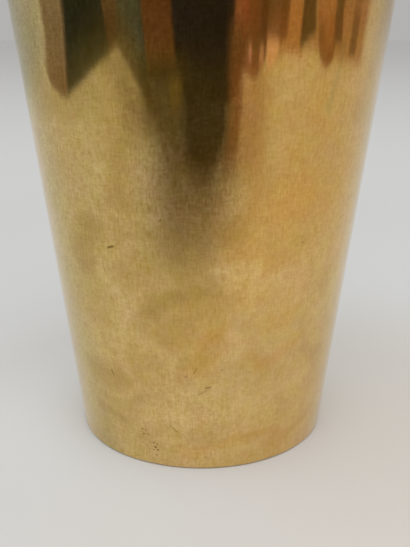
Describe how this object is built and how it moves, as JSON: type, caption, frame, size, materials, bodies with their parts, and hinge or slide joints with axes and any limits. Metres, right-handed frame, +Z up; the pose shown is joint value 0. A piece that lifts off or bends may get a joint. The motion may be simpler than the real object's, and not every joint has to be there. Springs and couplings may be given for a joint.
{
  "type": "bronze beaker vessel",
  "caption": "Tall round bronze beaker that widens upwards in a straight cone and flares to a trumpet mouth with a rounded lip, standing on a plain foot closed by a soldered disc.",
  "frame": {"origin": "centre of the foot ring, on the surface that the vessel stands on", "axes": "+Z up along the vessel's axis, from the foot to the mouth; the side in the picture faces -Y"},
  "size_m": [0.1696, 0.1696, 0.248],
  "materials": {
    "polished_bronze": "polished golden bronze with a mottled tarnish, fine polishing lines and small casting pits",
    "turned_bronze": "turned on a lathe and left unpolished, browner than the outside",
    "dull_solder": "dull grey soft solder"
  },
  "bodies": {
    "root": {"vessel_body": "polished_bronze", "base_plate": "turned_bronze", "inner_solder_fillet": "dull_solder", "underside_solder_bead": "dull_solder"}
  },
  "joints": []
}
